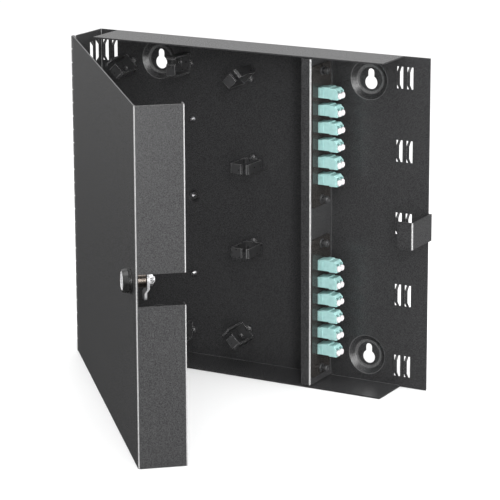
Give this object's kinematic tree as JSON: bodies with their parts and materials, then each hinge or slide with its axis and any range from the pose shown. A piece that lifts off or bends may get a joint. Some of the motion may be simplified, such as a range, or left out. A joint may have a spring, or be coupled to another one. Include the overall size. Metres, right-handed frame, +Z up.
{
  "type": "fiber termination box",
  "caption": "Wall-mount fibre termination box: folded steel box with a locking hinged door, a divider with duplex adapter plates, dust caps and routing clips.",
  "frame": {"origin": "on the wall plane, behind the middle of the back panel", "axes": "+Z up, +X to the right as seen from the front, -Y out of the wall towards the user; the hinge is on the left"},
  "size_m": [0.3488, 0.3103, 0.305],
  "materials": {
    "powder_coat": "fine textured black powder coat",
    "hinge_steel": "black coated hinge steel",
    "plate_coat": "semi-gloss black coat",
    "aqua_plastic": "moulded aqua plastic",
    "white_plastic": "translucent white moulded plastic",
    "black_nylon": "black moulded nylon with a slight sheen",
    "bezel_black": "smooth black coated zinc casting",
    "chrome_zinc": "bright plated zinc",
    "zinc": "bright zinc-plated steel"
  },
  "bodies": {
    "box": {"back_box": "powder_coat", "tray_stud_upper": "zinc", "tray_stud_lower": "zinc", "ground_stud": "zinc", "ground_nut": "zinc", "divider_bracket": "powder_coat", "adapter_plate_upper": "plate_coat", "latch_grommet_upper_top": "black_nylon", "latch_grommet_upper_bottom": "black_nylon", "adapter_01": "aqua_plastic", "adapter_02": "aqua_plastic", "adapter_03": "aqua_plastic", "adapter_04": "aqua_plastic", "adapter_05": "aqua_plastic", "adapter_06": "aqua_plastic", "adapter_plate_lower": "plate_coat", "latch_grommet_lower_top": "black_nylon", "latch_grommet_lower_bottom": "black_nylon", "adapter_07": "aqua_plastic", "adapter_08": "aqua_plastic", "adapter_09": "aqua_plastic", "adapter_10": "aqua_plastic", "adapter_11": "aqua_plastic", "adapter_12": "aqua_plastic", "routing_clip_top": "black_nylon", "routing_clip_top_right": "black_nylon", "routing_clip_right_upper": "black_nylon", "routing_clip_right_lower": "black_nylon", "routing_clip_bottom_right": "black_nylon", "routing_clip_bottom": "black_nylon", "routing_clip_bottom_left": "black_nylon", "routing_clip_left_lower": "black_nylon", "routing_clip_left_upper": "black_nylon", "routing_clip_top_left": "black_nylon", "hinge_body_leaf": "hinge_steel", "hinge_pin": "zinc"},
    "door": {"door_panel": "powder_coat", "hinge_door_leaf": "hinge_steel", "lock_housing": "bezel_black", "lock_spring_clip": "zinc"},
    "lock": {"lock_plug": "chrome_zinc", "lock_cam": "zinc", "cam_nut": "zinc"},
    "b_latch_plunger_upper_top": {"latch_plunger_upper_top": "black_nylon"},
    "b_latch_plunger_upper_bottom": {"latch_plunger_upper_bottom": "black_nylon"},
    "b_latch_plunger_lower_top": {"latch_plunger_lower_top": "black_nylon"},
    "b_latch_plunger_lower_bottom": {"latch_plunger_lower_bottom": "black_nylon"},
    "b_dust_cap_01": {"dust_cap_01": "white_plastic"},
    "b_dust_cap_02": {"dust_cap_02": "white_plastic"},
    "b_dust_cap_03": {"dust_cap_03": "white_plastic"},
    "b_dust_cap_04": {"dust_cap_04": "white_plastic"},
    "b_dust_cap_05": {"dust_cap_05": "white_plastic"},
    "b_dust_cap_06": {"dust_cap_06": "white_plastic"},
    "b_dust_cap_07": {"dust_cap_07": "white_plastic"},
    "b_dust_cap_08": {"dust_cap_08": "white_plastic"},
    "b_dust_cap_09": {"dust_cap_09": "white_plastic"},
    "b_dust_cap_10": {"dust_cap_10": "white_plastic"},
    "b_dust_cap_11": {"dust_cap_11": "white_plastic"},
    "b_dust_cap_12": {"dust_cap_12": "white_plastic"}
  },
  "joints": [
    {"name": "door_hinge", "type": "hinge", "parent": "box", "child": "door", "pos_m": [-0.1727, -0.049, 0], "axis": [0, 0, -1], "range_deg": [-49, 131]},
    {"name": "lock_turn", "type": "hinge", "parent": "door", "child": "lock", "pos_m": [0.03593, -0.289, 0.0015], "axis": [-0.7547, -0.6561, 0], "range_deg": [0, 90]},
    {"name": "latch_pull_upper_top", "type": "slide", "parent": "box", "child": "b_latch_plunger_upper_top", "axis": [1, 0, 0], "range_m": [0, 0.004]},
    {"name": "latch_pull_upper_bottom", "type": "slide", "parent": "box", "child": "b_latch_plunger_upper_bottom", "axis": [1, 0, 0], "range_m": [0, 0.004]},
    {"name": "latch_pull_lower_top", "type": "slide", "parent": "box", "child": "b_latch_plunger_lower_top", "axis": [1, 0, 0], "range_m": [0, 0.004]},
    {"name": "latch_pull_lower_bottom", "type": "slide", "parent": "box", "child": "b_latch_plunger_lower_bottom", "axis": [1, 0, 0], "range_m": [0, 0.004]},
    {"name": "dust_cap_01_pull", "type": "slide", "parent": "box", "child": "b_dust_cap_01", "axis": [1, 0, 0], "range_m": [0, 0.012]},
    {"name": "dust_cap_02_pull", "type": "slide", "parent": "box", "child": "b_dust_cap_02", "axis": [1, 0, 0], "range_m": [0, 0.012]},
    {"name": "dust_cap_03_pull", "type": "slide", "parent": "box", "child": "b_dust_cap_03", "axis": [1, 0, 0], "range_m": [0, 0.012]},
    {"name": "dust_cap_04_pull", "type": "slide", "parent": "box", "child": "b_dust_cap_04", "axis": [1, 0, 0], "range_m": [0, 0.012]},
    {"name": "dust_cap_05_pull", "type": "slide", "parent": "box", "child": "b_dust_cap_05", "axis": [1, 0, 0], "range_m": [0, 0.012]},
    {"name": "dust_cap_06_pull", "type": "slide", "parent": "box", "child": "b_dust_cap_06", "axis": [1, 0, 0], "range_m": [0, 0.012]},
    {"name": "dust_cap_07_pull", "type": "slide", "parent": "box", "child": "b_dust_cap_07", "axis": [1, 0, 0], "range_m": [0, 0.012]},
    {"name": "dust_cap_08_pull", "type": "slide", "parent": "box", "child": "b_dust_cap_08", "axis": [1, 0, 0], "range_m": [0, 0.012]},
    {"name": "dust_cap_09_pull", "type": "slide", "parent": "box", "child": "b_dust_cap_09", "axis": [1, 0, 0], "range_m": [0, 0.012]},
    {"name": "dust_cap_10_pull", "type": "slide", "parent": "box", "child": "b_dust_cap_10", "axis": [1, 0, 0], "range_m": [0, 0.012]},
    {"name": "dust_cap_11_pull", "type": "slide", "parent": "box", "child": "b_dust_cap_11", "axis": [1, 0, 0], "range_m": [0, 0.012]},
    {"name": "dust_cap_12_pull", "type": "slide", "parent": "box", "child": "b_dust_cap_12", "axis": [1, 0, 0], "range_m": [0, 0.012]}
  ]
}
